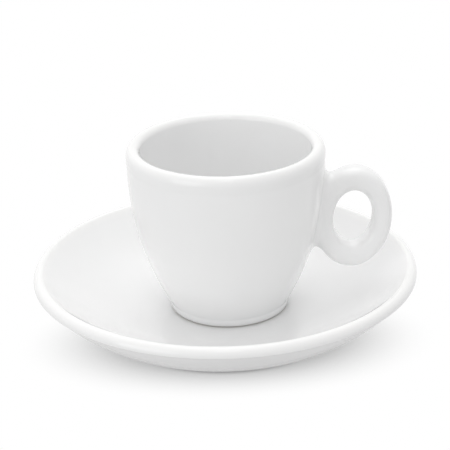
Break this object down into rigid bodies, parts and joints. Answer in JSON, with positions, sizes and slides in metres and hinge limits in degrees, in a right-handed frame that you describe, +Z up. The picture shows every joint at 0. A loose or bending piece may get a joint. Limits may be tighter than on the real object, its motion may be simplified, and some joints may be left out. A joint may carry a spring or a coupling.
{
  "type": "espresso cup with saucer",
  "caption": "Thick-walled white porcelain espresso cup with a bowed wall, rolled lip and oval ring handle, standing loose in the well of a wide dished saucer",
  "frame": {"origin": "centre of the saucer's foot ring, on the table", "axes": "+Z up, +X the way the handle points, +Y away from the picture's camera"},
  "size_m": [0.12, 0.12, 0.059],
  "materials": {
    "saucer_glaze": "white porcelain under a clear gloss glaze, foot ring left bare",
    "cup_glaze": "white porcelain under a clear gloss glaze, foot ring left bare",
    "handle_glaze": "white porcelain under a clear gloss glaze"
  },
  "bodies": {
    "saucer": {"saucer": "saucer_glaze"},
    "cup": {"cup_body": "cup_glaze", "handle": "handle_glaze"}
  },
  "joints": [
    {"name": "cup_lift", "type": "slide", "parent": "saucer", "child": "cup", "axis": [0, 0, 1], "range_m": [0, 0.1]}
  ]
}
